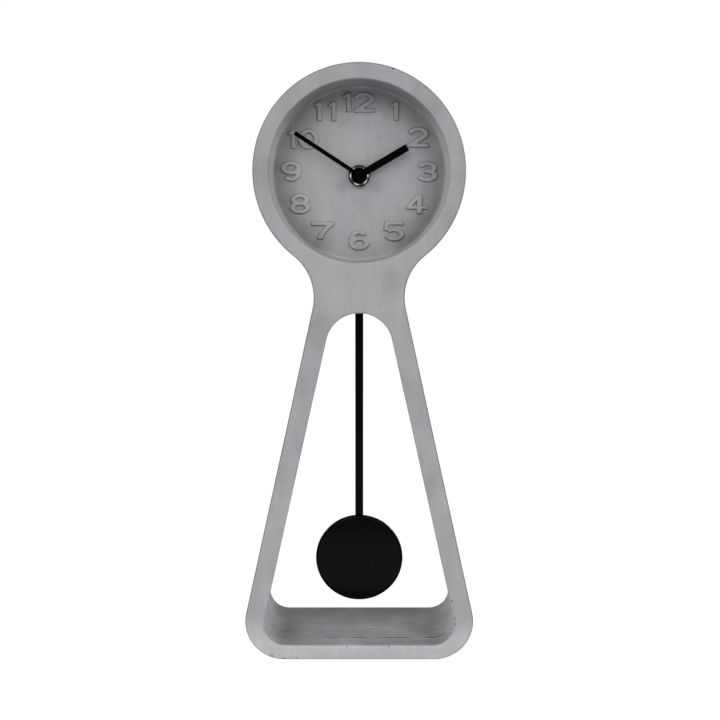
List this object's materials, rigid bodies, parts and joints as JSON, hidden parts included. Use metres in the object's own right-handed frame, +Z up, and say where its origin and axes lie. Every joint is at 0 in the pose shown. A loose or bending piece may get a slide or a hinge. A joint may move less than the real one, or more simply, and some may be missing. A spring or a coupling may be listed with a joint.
{
  "type": "desk pendulum clock",
  "caption": "Cast stone-grey desk clock with a round recessed dial on an arched frame, baton hands and a swinging pendulum with a domed bob.",
  "frame": {"origin": "middle of the footprint, on the table", "axes": "+Z up, -Y out of the dial, +X to the viewer's right"},
  "size_m": [0.156, 0.075, 0.4],
  "materials": {
    "cast_concrete": "matt, fine pores",
    "black_hands": "satin",
    "dark_chrome": "polished",
    "black_rod": "satin",
    "black_bob": "satin gloss",
    "black_plastic": "moulded",
    "white_plastic": "moulded",
    "brass": "turned",
    "steel": "bright",
    "rubber": "matt",
    "copper_winding": "enamelled wire",
    "board": "lacquered",
    "cell_jacket": "plain jacket",
    "magnet": "dull"
  },
  "bodies": {
    "clock": {"concrete_body": "cast_concrete", "threaded_bush": "brass", "rubber_washer": "rubber", "front_washer": "dark_chrome", "centre_nut": "dark_chrome", "motor_stator": "steel", "coil_core": "steel", "motor_coil": "copper_winding", "circuit_board": "board", "quartz_crystal": "steel", "gear_plate": "white_plastic", "movement_front_shell": "black_plastic", "movement_back_cover": "black_plastic", "battery_positive_contact": "steel", "battery_negative_contact": "steel", "drive_coil": "copper_winding", "pivot_pin": "steel"},
    "minute": {"minute_arbor": "steel", "minute_hand": "black_hands", "hand_cap": "black_hands"},
    "hour": {"hour_wheel": "white_plastic", "hour_hand": "black_hands"},
    "motion": {"motion_wheel": "white_plastic", "set_knob": "black_plastic"},
    "centre": {"centre_wheel": "white_plastic"},
    "third": {"third_wheel": "white_plastic"},
    "seconds": {"seconds_wheel": "white_plastic"},
    "intermediate": {"intermediate_wheel": "white_plastic"},
    "rotor": {"rotor_pinion": "white_plastic", "rotor_magnet": "magnet"},
    "cell": {"battery": "cell_jacket"},
    "pendulum": {"pendulum_hanger": "white_plastic", "pendulum_magnet": "magnet", "pendulum_rod": "black_rod", "pendulum_bob": "black_bob", "bob_back_plate": "black_bob", "bob_clip": "steel"}
  },
  "joints": [
    {"name": "minute_hand_turn", "type": "hinge", "parent": "clock", "child": "minute", "pos_m": [0, 0, 0.3291], "axis": [0, 1, 0], "continuous": true},
    {"name": "hour_hand_turn", "type": "hinge", "parent": "clock", "child": "hour", "pos_m": [0, 0, 0.3291], "axis": [0, 1, 0], "continuous": true},
    {"name": "motion_wheel_turn", "type": "hinge", "parent": "clock", "child": "motion", "pos_m": [0.00811, 0, 0.32342], "axis": [0, 1, 0], "continuous": true},
    {"name": "rotor_turn", "type": "hinge", "parent": "clock", "child": "rotor", "pos_m": [-0.00121, 0, 0.31392], "axis": [0, 1, 0], "continuous": true},
    {"name": "intermediate_wheel_turn", "type": "hinge", "parent": "clock", "child": "intermediate", "pos_m": [-0.00732, 0, 0.31614], "axis": [0, 1, 0], "continuous": true},
    {"name": "seconds_wheel_turn", "type": "hinge", "parent": "clock", "child": "seconds", "pos_m": [-0.01082, 0, 0.32221], "axis": [0, 1, 0], "continuous": true},
    {"name": "third_wheel_turn", "type": "hinge", "parent": "clock", "child": "third", "pos_m": [-0.0096, 0, 0.3291], "axis": [0, 1, 0], "continuous": true},
    {"name": "centre_wheel_turn", "type": "hinge", "parent": "clock", "child": "centre", "pos_m": [0, 0, 0.3291], "axis": [0, 1, 0], "continuous": true},
    {"name": "pendulum_swing", "type": "hinge", "parent": "clock", "child": "pendulum", "pos_m": [0, 0, 0.2955], "axis": [0, 1, 0], "range_deg": [-6, 6]},
    {"name": "battery_slide", "type": "slide", "parent": "clock", "child": "cell", "axis": [0, 1, 0], "range_m": [0, 0.03]}
  ],
  "couplings": [
    {"joint": "hour_hand_turn", "follows": "minute_hand_turn", "ratio": 0.083333},
    {"joint": "motion_wheel_turn", "follows": "minute_hand_turn", "ratio": -0.33333},
    {"joint": "intermediate_wheel_turn", "follows": "rotor_turn", "ratio": -0.2},
    {"joint": "seconds_wheel_turn", "follows": "rotor_turn", "ratio": 0.033333},
    {"joint": "third_wheel_turn", "follows": "rotor_turn", "ratio": -0.0044444},
    {"joint": "centre_wheel_turn", "follows": "rotor_turn", "ratio": 0.00055556}
  ]
}
